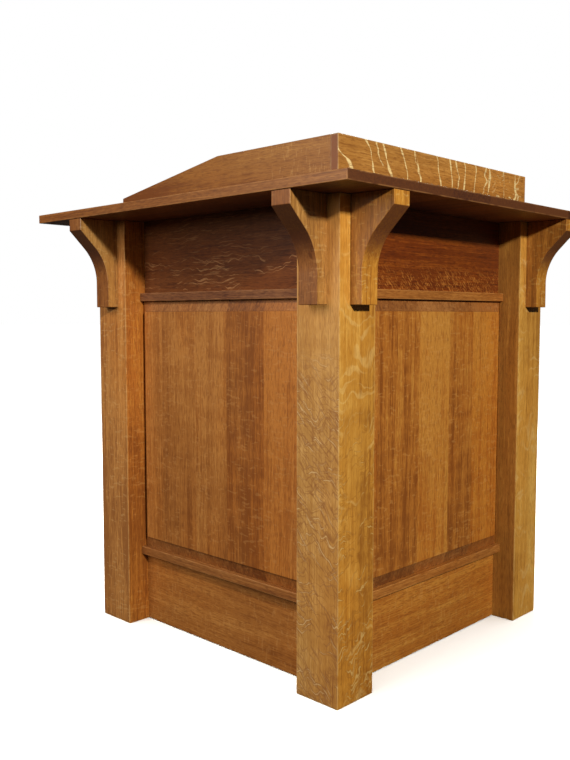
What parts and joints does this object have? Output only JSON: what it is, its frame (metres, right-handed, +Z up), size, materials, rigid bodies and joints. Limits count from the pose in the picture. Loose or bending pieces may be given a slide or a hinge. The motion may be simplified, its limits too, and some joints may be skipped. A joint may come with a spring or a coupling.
{
  "type": "lectern podium",
  "caption": "Square oak lectern podium with raised panels, corner posts, corbels under a wide top, and a slant-top desk box with a hinged reading lid.",
  "frame": {"origin": "on the floor below the middle of the square body", "axes": "+Z up; the audience is at -Y and the speaker at +Y; +X is to the right of somebody who faces the front from the audience"},
  "size_m": [1.042, 1.042, 1.164],
  "materials": {
    "oak_post": "satin stained quartersawn oak, golden amber",
    "oak_panel": "satin stained quartersawn oak, red brown",
    "oak_trim": "satin stained oak mouldings",
    "oak_top": "satin stained quartersawn oak",
    "oak_inside": "plain clear-finished oak",
    "hinge_brass": "aged satin brass"
  },
  "bodies": {
    "root": {"box_cleat": "oak_inside", "box_front": "oak_top", "box_left": "oak_top", "box_right": "oak_top", "deck_cleat_front": "oak_inside", "deck_cleat_left": "oak_inside", "deck_cleat_rear": "oak_inside", "deck_cleat_right": "oak_inside", "front_bottom_rail": "oak_panel", "front_corbel_left": "oak_post", "front_corbel_right": "oak_post", "front_frieze_rail": "oak_panel", "front_lower_ledge": "oak_trim", "front_panel": "oak_panel", "front_upper_strip": "oak_trim", "hinge_left_fixed_leaf": "hinge_brass", "hinge_left_pin": "hinge_brass", "hinge_right_fixed_leaf": "hinge_brass", "hinge_right_pin": "hinge_brass", "left_bottom_rail": "oak_panel", "left_corbel_front": "oak_post", "left_corbel_rear": "oak_post", "left_frieze_rail": "oak_panel", "left_lower_ledge": "oak_trim", "left_panel": "oak_panel", "left_upper_strip": "oak_trim", "level_shelf": "oak_top", "lid_rest_left": "oak_inside", "lid_rest_right": "oak_inside", "lower_deck": "oak_inside", "middle_shelf": "oak_inside", "post_front_left": "oak_post", "post_front_right": "oak_post", "post_rear_left": "oak_post", "post_rear_right": "oak_post", "rear_bottom_rail": "oak_panel", "rear_corbel_left": "oak_post", "rear_corbel_right": "oak_post", "rear_top_rail": "oak_panel", "right_bottom_rail": "oak_panel", "right_corbel_front": "oak_post", "right_corbel_rear": "oak_post", "right_frieze_rail": "oak_panel", "right_lower_ledge": "oak_trim", "right_panel": "oak_panel", "right_upper_strip": "oak_trim", "shelf_cleat_left": "oak_inside", "shelf_cleat_right": "oak_inside", "toe_board": "oak_top", "top_board": "oak_top", "top_cleat_front": "oak_inside", "top_cleat_left": "oak_inside", "top_cleat_rear": "oak_inside", "top_cleat_right": "oak_inside", "well_partition": "oak_inside"},
    "lid": {"hinge_left_moving_leaf": "hinge_brass", "hinge_right_moving_leaf": "hinge_brass", "lid_batten_left": "oak_inside", "lid_batten_right": "oak_inside", "reading_lid": "oak_top"}
  },
  "joints": [
    {"name": "lid_hinge", "type": "hinge", "parent": "root", "child": "lid", "pos_m": [0, -0.017, 1.152], "axis": [1, 0, 0], "range_deg": [0, 105]}
  ]
}
